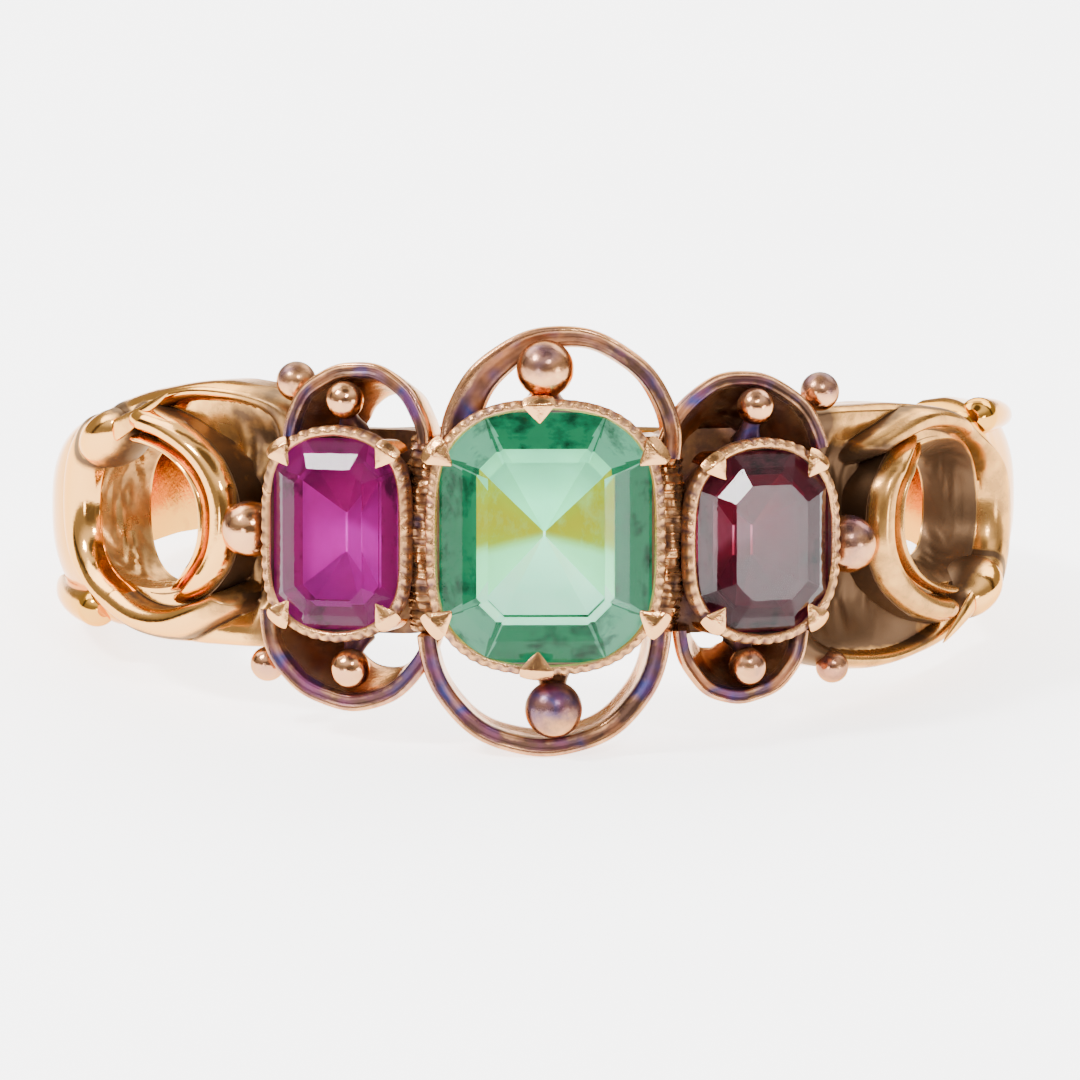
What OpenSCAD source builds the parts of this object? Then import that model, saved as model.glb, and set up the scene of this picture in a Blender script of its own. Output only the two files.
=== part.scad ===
// A three-stone ring with scroll shoulders, lying on its side.
// The ring is drawn with its finger hole along Z and its head facing -Y, then laid down as it rests.
// Places on it are given as an angle round the finger (0 at the head, positive towards +X), a height z
// along the finger, and a level, which is the distance outwards from the finger hole's wall.

/* [Band] */
// Radius of the finger hole
finger_r = 8.5; // [8.4:0.05:8.7]
// Half of the band's width at the back
back_half_w = 0.96; // [0.85:0.01:1.1]
// Thickness of the band at the back
back_level = 1.2; // [1.05:0.05:1.4]
// Overall width of the metal across the shoulders
overall_w = 20; // [19.8:0.05:20.4]

/* [Shoulders] */
// Half length of each oval opening, measured round the finger
opening_half_l = 2.05; // [1.8:0.05:2.15]
// Half height of each oval opening
opening_half_h = 1.48; // [1.3:0.02:1.55]
// Width of the raised half ring round the opening
half_ring_w = 0.98; // [0.8:0.02:1.05]
// Level of the half ring's crest
half_ring_level = 1.85; // [1.7:0.05:1.95]
// Width of the strap that curls round the other side
strap_w = 0.85; // [0.7:0.05:0.95]
// Level of the strap's crest
strap_level = 1.62; // [1.5:0.02:1.75]

/* [Head] */
// Level of the centre collet's rim
centre_level = 2.45; // [2.3:0.05:2.6]
// Level of the side collets' rims
side_level = 2.12; // [2:0.02:2.25]
// Thickness of a collet's rim
rim_w = 0.24; // [0.2:0.01:0.28]
// Thickness of a loop's ribbon
loop_w = 0.34; // [0.28:0.02:0.4]

/* [Stones] */
// Width of the centre stone
centre_stone_w = 4.2; // [4:0.05:4.3]
// Height of the centre stone
centre_stone_h = 4.95; // [4.8:0.05:5.05]
// Width of the left stone
left_stone_w = 2.65; // [2.5:0.05:2.75]
// Height of the left stone
left_stone_h = 3.8; // [3.6:0.05:3.9]
// Width of the right stone
right_stone_w = 2.9; // [2.7:0.05:3]
// Height of the right stone
right_stone_h = 3.6; // [3.4:0.05:3.7]

/* [Hidden] */

gold = "#c98f5f";
green = "#cfe3d4";
ruby = "#b03a6c";
garnet = "#4a1d1d";
fit_gap = 0.04;      // between a stone and its collet
bore_cut_l = 14;     // length of the cylinder that opens the finger hole
// The band, the shoulders and the base are drawn this far into the finger hole, which is then cut.
hidden_level = -0.3;
shoulder_hidden = -0.5;
base_hidden = -0.75;
arc_mm = (finger_r + 1.5) * PI / 180; // one degree round the shoulders, in millimetres

// The loops. Columns: angle of the collet, middle across and up from it, outer radius,
// first and last direction, level of the front rim.
loops = [
    [0, 0.28, 1.81, 2.4, -6, 176, 1.95],
    [0, -0.05, -1.82, 2.54, 183, 359, 1.95],
    [-23.4, 0.31, 1.86, 1.6, 0, 180, 1.75],
    [-23.4, 0.16, -1.54, 1.98, 180, 345, 1.75],
    [24.2, -0.29, 1.29, 1.97, 12, 170, 1.75],
    [24.2, -0.29, -1.88, 1.52, 180, 358, 1.75]
];

// How the ring lies: on the lower centre loop and on the band's edge at the back.
edge_level = 0.35;                                  // level at which the band's round face starts
loop_low = [finger_r + 1.83, loops[1][3] - loops[1][2]];
band_low = [finger_r + edge_level, back_half_w];
rest_tilt = atan((loop_low[1] - band_low[1]) / (loop_low[0] + band_low[0]));
rest_lift = loop_low[1] * cos(rest_tilt) - loop_low[0] * sin(rest_tilt);
rest_back = 0.992;                                  // moves the middle of the ring's box onto the origin

// Each opening on its own side. Columns: angle and height of its middle, half length.
left_opening = [-56, 0.1, opening_half_l + 0.15];
right_opening = [-58, -0.13, opening_half_l];

// The shoulder's edge, a row for each sixteenth of a turn round the opening.
// Columns: angle round the finger, height.
shoulder_edge = [
    [-30, 0.1], [-30, 1.2], [-31, 2.5], [-42, 2.92],
    [-53, 2.74], [-62, 2.42], [-70, 2.05], [-76, 1.3],
    [-77.5, 0.3], [-74.5, -0.65], [-68, -1.45], [-61, -2.02],
    [-54, -2.32], [-45, -2.42], [-31, -2.25], [-30, -1.2]
];

// The band from the left shoulder to the back.
// Columns: angle, lower edge, upper edge, level of the outer face.
band_sections = [
    [-62, -1.95, -1.75, 0.9],
    [-65, -2.24, -1.45, 1.17],
    [-68.5, -2.33, -0.85, 1.27],
    [-72, -2.32, 0.9, 1.32],
    [-77, -2.25, 1.75, 1.38],
    [-85, -2.15, 1.85, 1.46],
    [-92, -1.95, 1.75, 1.5],
    [-100, -1.5, 1.45, 1.46],
    [-109, -1.18, 1.18, 1.38],
    [-120, -1.04, 1.04, 1.28],
    [-140, -back_half_w, back_half_w, back_level],
    [-160, -back_half_w, back_half_w, back_level],
    [-180, -back_half_w, back_half_w, back_level]
];

// The stones. Columns: angle, height, width, height of the outline, cut of its corners, level of the girdle.
girdle_drop = 0.12; // from a collet's rim down to its stone's girdle
sharp = 200;        // squareness of an outline with straight sides
centre_gem = [-0.2, 0.05, centre_stone_w, centre_stone_h, 0.88, centre_level - girdle_drop];
left_gem = [-23.4, 0.04, left_stone_w, left_stone_h, 0.62, side_level - girdle_drop];
right_gem = [24.2, -0.13, right_stone_w, right_stone_h, 0.74, side_level - girdle_drop];
gems = [centre_gem, left_gem, right_gem];

// The balls. Columns: angle, height, radius, level of the middle, level and height of the stem's root.
balls = [
    [-0.2, 3.37, 0.57, 2.0, 1.3, 2.5],
    [0.7, -3.39, 0.57, 2.0, 1.3, -2.45],
    [-22.8, 2.69, 0.38, 1.8, 1.4, 2.05],
    [-22.2, -2.65, 0.4, 1.8, 1.4, -2.0],
    [23.9, 2.55, 0.37, 1.8, 1.4, 1.8],
    [23, -2.63, 0.38, 1.8, 1.4, -2.05],
    [-37, 0.02, 0.56, 1.5, 0.45, 0.02],
    [38.3, -0.31, 0.56, 1.5, 0.45, -0.31],
    [-30.3, 3, 0.4, 1.3, 0.55, 2.2],
    [34.3, 2.76, 0.39, 1.3, 0.55, 2.1],
    [36.2, -2.78, 0.33, 1.3, 0.55, -2.3],
    [-34.3, -2.68, 0.35, 1.3, 0.55, -2.1]
];

// The claws. Columns: number of the stone, direction from its middle.
claws = [
    for (g = [0, 1, 2]) for (d = (g == 0 ? [38, 142, 218, 322] : [55, 125, 235, 305])) [g, d],
    [0, 94], [0, 266]
];

// A point on the ring from its angle, height and level.
function at(angle, z, level) =
    [(finger_r + level) * sin(angle), -(finger_r + level) * cos(angle), z];

// 0 before a, 1 after b, and a smooth step between them.
function step(a, b, x) = let (t = min(1, max(0, (x - a) / (b - a)))) t * t * (3 - 2 * t);

// A smooth closed curve through the rows of a table, at row number t.
function closed_curve(rows, t) =
    let (n = len(rows), i = floor(t), f = t - i,
         p = rows[(i + n - 1) % n], q = rows[i % n], r = rows[(i + 1) % n], s = rows[(i + 2) % n])
    0.5 * (2 * q + (r - p) * f + (2 * p - 5 * q + 4 * r - s) * f * f + (3 * q - p - 3 * r + s) * f * f * f);

// Half of a round section: 1 at the middle of a strip, 0 at its edges.
function round_top(x) = sqrt(max(0, 1 - x * x));

// A surface through rings of points. A tube's last ring meets its first, and other surfaces get flat ends.
module surface_of(rings, tube = false) {
    n = len(rings[0]);
    m = len(rings);
    sides = [
        for (j = [0 : m - (tube ? 1 : 2)]) for (i = [0 : n - 1])
        for (t = [[[0, 0], [0, 1], [1, 1]], [[0, 0], [1, 1], [1, 0]]])
        [for (k = t) ((j + k[0]) % m) * n + (i + k[1]) % n]
    ];
    ends = tube ? [] : [[for (i = [n - 1 : -1 : 0]) i], [for (i = [0 : n - 1]) (m - 1) * n + i]];
    polyhedron([for (r = rings) each r], concat(sides, ends), convexity = 6);
}

// Distance of the opening's edge from its middle, in a direction.
function opening_reach(dir, half_l) =
    1 / pow(pow(abs(cos(dir)) / half_l, 2.3) + pow(abs(sin(dir)) / opening_half_h, 2.3), 1 / 2.3);

// Width of the half ring: nothing below the opening, full on the head side, blunt at the upper end.
function half_ring_width(dir) = let (d = dir > 180 ? dir - 360 : dir)
    0.03 + half_ring_w * step(-125, -15, d) * (1 + 0.15 * round_top((d - 40) / 40) - 0.15 * step(60, 95, d))
        * round_top(step(86, 108, d));

// Width of the strap: it starts at the head's lower rail, and its blunt end faces the half ring's.
function strap_width(dir) =
    0.03 + strap_w * (1 + 0.5 * round_top((dir - 185) / 60)) * round_top(step(124, 106, dir))
        * step(345, 318, dir) * (dir < 60 ? 0 : 1);

// Level of the ground that the half ring and the strap stand on.
function ground(angle, z) =
    1.1 - 0.38 * step(-44, -38, angle) * step(2.4, 1.9, z) * step(-2.1, -1.6, z);

// Level of the shoulder's outer face at a distance from the opening's edge.
function shoulder_level(dir, dist, left_over, angle, z) =
    let (w1 = half_ring_width(dir), w2 = strap_width(dir),
         k1 = min(1, w1 / half_ring_w), k2 = min(1, w2 / strap_w),
         ring = 1.1 * k1 + (half_ring_level - 1.1) * k1 * round_top(2 * dist / w1 - 1),
         strap = k2 + (strap_level - 1) * k2 * round_top(2 * (dist - w1) / w2 - 1),
         edge = 0.35 * (1 - round_top(1 - min(1, left_over / 0.35))))
    max(ground(angle, z), dist <= w1 ? ring : 0, dist >= w1 && dist <= w1 + w2 ? strap : 0) - edge;

module shoulder(opening, turns = 24) {
    parts = [0.2, 0.5, 0.8, 1];
    tail = [0.3, 0.7, 0.9, 1];
    sections = [
        for (k = [0 : turns - 1])
        let (dir = 360 - k * 360 / turns,
             near = opening_reach(dir, opening[2]),
             lip = [opening[0] + near * cos(dir) / arc_mm, opening[1] + near * sin(dir)],
             rim = closed_curve(shoulder_edge, dir / 22.5),
             reach = norm([(rim[0] - lip[0]) * arc_mm, rim[1] - lip[1]]),
             ring_end = max(half_ring_width(dir), 0.22 * reach),
             strap_end = min(0.88 * reach,
                             max(half_ring_width(dir) + strap_width(dir), ring_end + 0.22 * reach)),
             dists = concat([0], [for (p = parts) p * ring_end],
                            [for (p = parts) ring_end + p * (strap_end - ring_end)],
                            [for (p = tail) strap_end + p * (reach - strap_end)]))
        concat(
            [at(lip[0], lip[1], shoulder_hidden)],
            [for (d = dists)
                let (p = lip + (rim - lip) * d / reach)
                at(p[0], p[1], shoulder_level(dir, d, reach - d, p[0], p[1]))],
            [at(rim[0], rim[1], shoulder_hidden)])
    ];
    surface_of(sections, tube = true);
}

// The band is round outside and thins towards its edges.
module band() {
    left = band_sections;
    right = [for (i = [len(left) - 2 : -1 : 0]) [-360 - left[i][0], -left[i][2], -left[i][1], left[i][3]]];
    sections = [
        for (s = concat(left, right))
        let (mid = (s[1] + s[2]) / 2, half = (s[2] - s[1]) / 2)
        concat(
            [for (t = [-1 : 0.25 : 1])
                at(s[0], mid + half * sin(90 * t),
                   edge_level + (s[3] - edge_level) * sqrt(max(0, 1 - pow(abs(sin(90 * t)), 2.6))))],
            [at(s[0], mid + half * 0.8, hidden_level), at(s[0], mid - half * 0.8, hidden_level)])
    ];
    surface_of([for (i = [len(sections) - 1 : -1 : 0]) sections[i]]);
}

// Reach of a stone's outline from its middle in a direction, grown by a margin: four sides and four cut
// corners, blended more softly the lower the squareness.
function outline_reach(gem, dir, margin, squareness) =
    let (a = abs(cos(dir)) / (gem[2] / 2 + margin), b = abs(sin(dir)) / (gem[3] / 2 + margin),
         c = (abs(cos(dir)) + abs(sin(dir))) / (gem[2] / 2 + gem[3] / 2 - gem[4] + margin * sqrt(2)))
    pow(pow(a, squareness) + pow(b, squareness) + pow(c, squareness), -1 / squareness);

// A point on a stone's outline: across the head, level, along the finger.
function on_outline(gem, dir, margin, level, squareness) =
    let (r = outline_reach(gem, dir, margin, squareness))
    [r * cos(dir), -(finger_r + level), r * sin(dir)];

// Turns a shape drawn straight in front of the finger to its place on the head.
module on_head(gem) { rotate([0, 0, gem[0]]) translate([0, 0, gem[1]]) children(); }

// Directions round a stone's outline that reach each end of its cut corners.
function directions(gem) =
    let (a = atan2(gem[3] / 2 - gem[4], gem[2] / 2), b = atan2(gem[3] / 2, gem[2] / 2 - gem[4]),
         q = [0, a / 3, 2 * a / 3, a, (a + b) / 2, b, (2 * b + 90) / 3, (b + 180) / 3])
    concat(q, [90], [for (i = [7 : -1 : 1]) 180 - q[i]],
           [for (d = q) d + 180], [270], [for (i = [7 : -1 : 1]) 360 - q[i]]);

module collet(gem) {
    rim = gem[5] + girdle_drop;
    // Columns: margin outside the stone, level.
    profile = [
        [-0.72, 0.3], [-0.6, 0.75], [-0.08, gem[5] - 0.3], [fit_gap, gem[5] - 0.12],
        [fit_gap, rim - 0.06], [fit_gap + 0.06, rim], [rim_w - 0.04, rim],
        [rim_w + fit_gap, rim - 0.08], [rim_w + 0.02, rim - 0.35], [0.12, 1.6],
        [-0.2, 0.8], [-0.38, 0.3]
    ];
    on_head(gem)
        surface_of([
            for (p = profile) [for (d = directions(gem)) on_outline(gem, d, p[0], p[1], sharp)]
        ], tube = true);
}

// The pierced base that the collets stand on.
module base() {
    difference() {
        surface_of([
            for (a = [36 : -6 : -36])
            let (z = 2.08 - 0.2 * step(20, 36, abs(a)))
            [at(a, -z + 0.15, base_hidden), at(a, z - 0.15, base_hidden), at(a, z, 0.25),
             at(a, z - 0.25, 0.55), at(a, -z + 0.25, 0.55), at(a, -z, 0.25)]
        ]);
        for (gem = gems)
            on_head(gem)
                surface_of([for (level = [1.1, -1.6])
                    [for (k = [0 : 11]) on_outline(gem, k * 30 + 7, -0.95, level, 5)]]);
    }
}

// The upright web between two collets.
module bridge(angle) {
    half_h = 1.9;
    rotate([0, 0, angle])
        surface_of([
            for (z = [-half_h : half_h / 4 : half_h])
            let (crest = 1.75 - 0.5 * pow(z / half_h, 2), w = 0.3)
            [[w + 0.1, -(finger_r + 0.2), z], [w, -(finger_r + crest - 0.2), z],
             [w / 2, -(finger_r + crest), z], [-w / 2, -(finger_r + crest), z],
             [-w, -(finger_r + crest - 0.2), z], [-w - 0.1, -(finger_r + 0.2), z]]
        ]);
}

// A ribbon bent to part of a circle, its back edge drawn in like a funnel's.
module loop(l) {
    depth = 1.45;
    // Columns: inset from the outer radius, distance behind the front rim.
    section = [[0, 0.12], [0.1, 0], [loop_w - 0.1, 0], [loop_w, 0.12], [loop_w + 0.3, depth], [0.3, depth]];
    steps = 16;
    rotate([0, 0, l[0]])
        surface_of([
            for (k = [0 : steps])
            let (a = l[4] + (l[5] - l[4]) * k / steps)
            [for (p = section)
                [l[1] + (l[3] - p[0]) * cos(a), -(finger_r + l[6] - p[1]), l[2] + (l[3] - p[0]) * sin(a)]]
        ]);
}

// A round bar that tapers from one point to another.
module bar(from, to, r_from, r_to, sides = 8) {
    way = to - from;
    translate(from)
        rotate([0, acos(way[2] / norm(way)), atan2(way[1], way[0])])
            cylinder(h = norm(way), r1 = r_from, r2 = r_to, $fn = sides);
}

module ball(b) {
    translate(at(b[0], b[1], b[3])) sphere(r = b[2], $fn = 16);
    bar(at(b[0], b[5], b[4]), at(b[0], b[1], b[3]), b[2] * 0.9, b[2] * 0.62);
}

// A pointed claw that stands on a collet's rim and leans over the stone.
module claw(c) {
    gem = gems[c[0]];
    rim = gem[5] + girdle_drop;
    spread = c[0] == 0 ? 4.6 : 6.5;
    root = rim_w + 0.07;
    // The upper and the lower face. Columns: level of the root, margin and level of the tip.
    faces = [[rim + 0.1, -0.27, rim + 0.3], [rim - 0.25, 0.16, rim - 0.12]];
    on_head(gem)
        surface_of([
            for (f = faces)
            [on_outline(gem, c[1] - spread, root, f[0], sharp),
             on_outline(gem, c[1] + spread, root, f[0], sharp),
             on_outline(gem, c[1], f[1], f[2], sharp)]
        ]);
}

// The hoop is joined first, and the head and the shoulders are joined to it.
module mount_metal() {
    render() {
        band();
        base();
    }
    shoulder(left_opening);
    rotate([0, 180, 0]) shoulder(right_opening);
    for (gem = gems) collet(gem);
    for (side = [-1, 1]) bridge(side * 12.9);
    for (l = loops) loop(l);
    for (b = balls) ball(b);
    for (c = claws) claw(c);
}

module laid_down() { translate([0, rest_back, rest_lift]) rotate([-rest_tilt, 0, 0]) children(); }

module gold_mount() {
    color(gold)
        laid_down()
            difference() {
                resize([overall_w, 0, 0]) mount_metal();
                cylinder(h = bore_cut_l, r = finger_r, center = true, $fn = 128);
            }
}

// The eight corners of a stone's outline, drawn in by an inset, at a level.
function corners(gem, inset, level) =
    let (x = gem[2] / 2 - inset, z = gem[3] / 2 - inset, c = gem[4] - (2 - sqrt(2)) * inset)
    [for (p = [[x, z - c], [x - c, z], [c - x, z], [-x, z - c],
               [-x, c - z], [c - x, -z], [x - c, -z], [x, c - z]])
        [p[0], -(finger_r + level), p[1]]];

// The flat-faced solid round a list of points.
module cut_from(points) { hull() polyhedron(points, [[for (i = [0 : len(points) - 1]) i]]); }

// A step cut: a table with cut corners, two steps above the girdle, and two below it that end in a keel.
module step_cut(gem, keel) {
    size = gem[2] / centre_stone_w;
    half_girdle = 0.05 * size;
    // Columns: inset from the outline, height above the girdle, both for a stone as wide as the centre one.
    steps = [[0.95, 0.65], [0.45, 0.41], [0.55, -0.8], [1.2, -1.4]];
    laid_down()
        on_head(gem)
            cut_from(concat(
                [for (s = steps) each corners(gem, s[0] * size, gem[5] + s[1] * size)],
                corners(gem, 0, gem[5] + half_girdle), corners(gem, 0, gem[5] - half_girdle),
                [for (z = [-keel, keel]) [0, -(finger_r + gem[5] - 1.95 * size), z]]));
}

module centre_stone() { color(green) step_cut(centre_gem, 0.375); }

module left_stone() { color(ruby) step_cut(left_gem, 0.55); }

module right_stone() { color(garnet) step_cut(right_gem, 0.35); }

gold_mount();
centre_stone();
left_stone();
right_stone();
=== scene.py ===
# %% [markdown]
# # A three-stone ring, worked out with numpy
# This file dresses the ring's solids for a picture. Every surface below is a small sum: a grid of points
# that follows one formula, so you can change a number, run the file again, and see what that number does.
# The first cell loads the solids. They stay where they are, and the fine pieces are laid over them.

# %% Load the solids
import bpy
import numpy as np
from mathutils import Matrix


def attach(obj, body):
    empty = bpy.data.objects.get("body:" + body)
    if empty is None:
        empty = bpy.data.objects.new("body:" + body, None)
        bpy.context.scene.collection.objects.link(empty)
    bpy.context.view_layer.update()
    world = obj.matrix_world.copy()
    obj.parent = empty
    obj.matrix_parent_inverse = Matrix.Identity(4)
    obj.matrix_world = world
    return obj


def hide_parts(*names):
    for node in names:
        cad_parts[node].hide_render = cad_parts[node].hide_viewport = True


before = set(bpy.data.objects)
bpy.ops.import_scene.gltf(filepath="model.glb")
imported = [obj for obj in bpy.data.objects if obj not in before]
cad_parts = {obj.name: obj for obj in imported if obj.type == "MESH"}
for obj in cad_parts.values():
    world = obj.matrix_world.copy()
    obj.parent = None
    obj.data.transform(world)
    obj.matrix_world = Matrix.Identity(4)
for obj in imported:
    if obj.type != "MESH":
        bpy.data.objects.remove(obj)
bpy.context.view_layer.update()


# %% [markdown]
# ## Where things are on a ring
# A goldsmith finds places on a ring by turning it, so this file does the same: an angle round the finger
# (0 at the middle of the head), a height z along it, and a level above the wall of the finger hole. The ring
# is drawn upright in millimetres. At the end each point is laid down as the ring rests, leaning on its lower
# front loop, and turned into metres.

# %% Places on the ring
FINGER_R = 8.5
# Millimetres along the ring in one degree, at the shoulders' level.
ARC = np.radians(FINGER_R + 1.5)
# The two places that the ring rests on, each as its radius and how far below the middle it is.
LOOP_LOW = np.array([FINGER_R + 1.83, 4.36])
BAND_LOW = np.array([FINGER_R + 0.35, 0.96])
TILT = np.arctan((LOOP_LOW[1] - BAND_LOW[1]) / (LOOP_LOW[0] + BAND_LOW[0]))
LIFT = LOOP_LOW[1] * np.cos(TILT) - LOOP_LOW[0] * np.sin(TILT)
# The finger hole's middle is this far behind the middle of the ring's box.
BACK = 0.992
LAY = np.array([[1, 0, 0], [0, np.cos(TILT), np.sin(TILT)], [0, -np.sin(TILT), np.cos(TILT)]])


def at(angle, z, level):
    """Points (r sin a, -r cos a, z) with r the finger hole's radius plus the level."""
    a, z, r = np.broadcast_arrays(np.radians(angle), z, FINGER_R + np.asarray(level, float))
    return np.stack([r * np.sin(a), -r * np.cos(a), z], axis=-1)


def laid(points):
    """Turns upright millimetres into resting metres: a turn about X by the tilt, then a shift."""
    return (points @ LAY.T + [0, BACK, LIFT]) * 0.001


def step(a, b, x):
    """0 before a, 1 after b, and 3t^2 - 2t^3 between them."""
    t = np.clip((x - a) / (b - a), 0, 1)
    return t * t * (3 - 2 * t)


def round_top(x, power=2.0):
    """The top half of a rounded section: (1 - |x|^p)^(1/p), and 0 past the ends."""
    return np.clip(1 - np.abs(x) ** power, 0, None) ** (1 / power)


print("the ring leans by", round(float(np.degrees(TILT)), 2), "degrees")

# %% [markdown]
# ## From a grid of points to a skin
# A grid is a table of points: rows run along the piece and columns run round it. Joining neighbours gives
# four-sided faces, and a fan closes each open end. If the volume comes out negative the faces point inwards,
# so they are turned over. Each point also carries a number for its tarnish and painted shade, read by the
# finish.

# %% Skin a grid
def shell_faces(rows, cols, looped):
    """Quads between neighbours of a rows x cols grid whose columns close, and fans over its ends."""
    i = np.arange(rows if looped else rows - 1)[:, None]
    j = np.arange(cols)[None, :]
    below, above, beside = i * cols, (i + 1) % rows * cols, (j + 1) % cols
    quads = np.stack([below + j, below + beside, above + beside, above + j], axis=-1).reshape(-1, 4)
    if looped:
        return quads, np.zeros((0, 3), int)
    j = np.arange(cols)
    beside = (j + 1) % cols
    last_row, low_middle, high_middle = (rows - 1) * cols, rows * cols, rows * cols + 1
    low = np.stack([beside, j, np.full(cols, low_middle)], axis=-1)
    high = np.stack([last_row + j, last_row + beside, np.full(cols, high_middle)], axis=-1)
    return quads, np.concatenate([low, high])


def shell(grid, looped=False, tarnish_and_shade=0.0):
    """One closed shell: its points, quads, triangles and its number for tarnish and painted shade, with the
    faces pointing outwards.
    """
    rows, cols = grid.shape[:2]
    quads, tris = shell_faces(rows, cols, looped)
    points = grid.reshape(-1, 3)
    dark = np.broadcast_to(tarnish_and_shade, (rows, cols)).reshape(-1)
    if not looped:
        points = np.concatenate([points, grid[:1].mean(axis=1), grid[-1:].mean(axis=1)])
        dark = np.concatenate([dark, [dark[0], dark[-1]]])
    flat = np.concatenate([quads[:, [0, 1, 2]], quads[:, [0, 2, 3]], tris])
    a, b, c = (points[flat[:, k]] for k in range(3))
    six_volumes = np.einsum("ij,ij->i", a, np.cross(b, c)).sum()
    if six_volumes < 0:
        quads, tris = quads[:, ::-1], tris[:, ::-1]
    return points, quads, tris, dark


print("a 3 x 4 grid has", [len(faces) for faces in shell_faces(3, 4, False)], "quads and triangles")

# %% [markdown]
# ## From skins to a piece
# One object may hold several shells, as one soldered part is made of several bits. The points are already
# where the ring rests, so the object itself never moves.

# %% Make a piece
SHARP_FROM = 35


def in_scene(name, data):
    """Puts a mesh, a lamp or a camera in the scene as an object."""
    made = bpy.data.objects.new(name, data)
    bpy.context.scene.collection.objects.link(made)
    return made


def piece(name, shells, finish, sharp=SHARP_FROM):
    """Joins shells into one object, laid down, smooth except at edges sharper than an angle."""
    starts = np.cumsum([0] + [len(s[0]) for s in shells[:-1]])
    points = laid(np.concatenate([s[0] for s in shells]))
    faces = [f + k for s, k in zip(shells, starts) for f in (s[1], s[2]) if len(f)]
    mesh = bpy.data.meshes.new(name)
    mesh.from_pydata(points.tolist(), [], [face for block in faces for face in block.tolist()])
    dark = np.concatenate([s[3] for s in shells])
    mesh.attributes.new("tarnish_and_shade", "FLOAT", "POINT").data.foreach_set("value", dark.astype(np.float32))
    mesh.shade_smooth()
    mesh.set_sharp_from_angle(angle=np.radians(sharp))
    for m in finish:
        mesh.materials.append(m)
    made = in_scene(name, mesh)
    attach(made, "root")
    print(name, "faces:", len(mesh.polygons))
    return made


print("edges stay sharp from", SHARP_FROM, "degrees")

# %% [markdown]
# ## Helpers for finishes
# A finish is a graph of small nodes that hand numbers and colours to each other, and most helpers add one.
# All noises are read in Object coordinates, so the patches stay put however you turn the ring.

# %% Node helpers
def dial(node, **values):
    """Sets a node's properties and, where a name matches a socket, that socket's value."""
    for key, value in values.items():
        label = key.replace("_", " ").title()
        if label in node.inputs:
            node.inputs[label].default_value = value
        else:
            setattr(node, key, value)
    return node


def add(tree, kind, **values):
    """Adds a node and dials its values in."""
    return dial(tree.nodes.new(kind), **values)


def new_finish(name):
    """A new finish: the material, its tree, its shader, and the node that reads Object coordinates."""
    made = bpy.data.materials.new(name)
    made.use_nodes = True
    tree = made.node_tree
    return made, tree, tree.nodes["Principled BSDF"], add(tree, "ShaderNodeTexCoord")


def noise(tree, place, scale, detail=4.0, roughness=0.55):
    """A noise read at a scale given in patches per millimetre."""
    made = add(tree, "ShaderNodeTexNoise", scale=scale * 1000, detail=detail, roughness=roughness)
    tree.links.new(place.outputs["Object"], made.inputs["Vector"])
    return made.outputs["Fac"]


def bump(tree, surface, height, strength, distance):
    """Tilts a shader's normal by a height, which rises a small distance in metres."""
    made = add(tree, "ShaderNodeBump", strength=strength, distance=distance)
    tree.links.new(height, made.inputs["Height"])
    tree.links.new(made.outputs[0], surface.inputs["Normal"])


def feed(tree, sockets, values):
    """Gives each socket a number, a colour of three numbers, or a link from another socket."""
    for socket, value in zip(sockets, values):
        if isinstance(value, tuple):
            socket.default_value = (*value, 1)
        elif isinstance(value, (int, float)):
            socket.default_value = value
        else:
            tree.links.new(value, socket)


def maths(tree, operation, first, second, clamp=True):
    """One sum on two sockets or numbers, kept between 0 and 1 unless clamp is off."""
    made = add(tree, "ShaderNodeMath", operation=operation, use_clamp=clamp)
    feed(tree, made.inputs, (first, second))
    return made.outputs[0]


def times(tree, first, second):
    """The product of two sockets or numbers, kept between 0 and 1."""
    return maths(tree, "MULTIPLY", first, second)


def ramp(tree, factor, stops):
    """Colours along a line from 0 to 1."""
    made = add(tree, "ShaderNodeValToRGB")
    marks = made.color_ramp.elements
    while len(marks) < len(stops):
        marks.new(0.5)
    for mark, (place, colour) in zip(marks, stops):
        mark.position = place
        mark.color = (*colour, 1)
    tree.links.new(factor, made.inputs[0])
    return made.outputs[0]


def blend(tree, factor, first, second):
    """Mixes two colours, each a socket or three numbers: first (1 - f) + second f."""
    made = add(tree, "ShaderNodeMix", data_type="RGBA")
    feed(tree, [made.inputs[k] for k in (0, 6, 7)], (factor, first, second))
    return made.outputs[2]


print("helpers:", [helper.__name__ for helper in (dial, add, noise, bump, feed, maths, times, ramp, blend)])

# %% [markdown]
# ## Rose gold and its tarnish
# Old rose gold is bright where fingers rub it and dark where they can't reach. So the finish mixes a clean
# metal with a brown one that shows where the number for tarnish and painted shade is high. A noise breaks the
# edge between them, and another lets patches of purple and blue bloom, as heat and soldering leave them. The
# dirt is less metallic, so it stays brown where nothing bright is reflected.

# %% Metal finishes
BLOOM = [(0.3, (0.04, 0.015, 0.012)), (0.42, (0.10, 0.022, 0.06)),
         (0.52, (0.02, 0.026, 0.11)), (0.62, (0.24, 0.085, 0.035))]
# The colour of gold where it is seen edge on.
EDGE_TINT = (1.0, 0.74, 0.48, 1)


def with_blooms(tree, place, tarnish_and_shade, colour, bloom):
    """Lays coloured patches over a colour: share = patch x bloom x (tarnish_and_shade + 0.25)."""
    tints = ramp(tree, noise(tree, place, 0.75, 2.0), BLOOM)
    patch = times(tree, maths(tree, "SUBTRACT", noise(tree, place, 1.3, 3.0), 0.4), 4.0)
    share = times(tree, patch, bloom)
    share = times(tree, share, maths(tree, "ADD", tarnish_and_shade, 0.25))
    return blend(tree, share, colour, tints)


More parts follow.
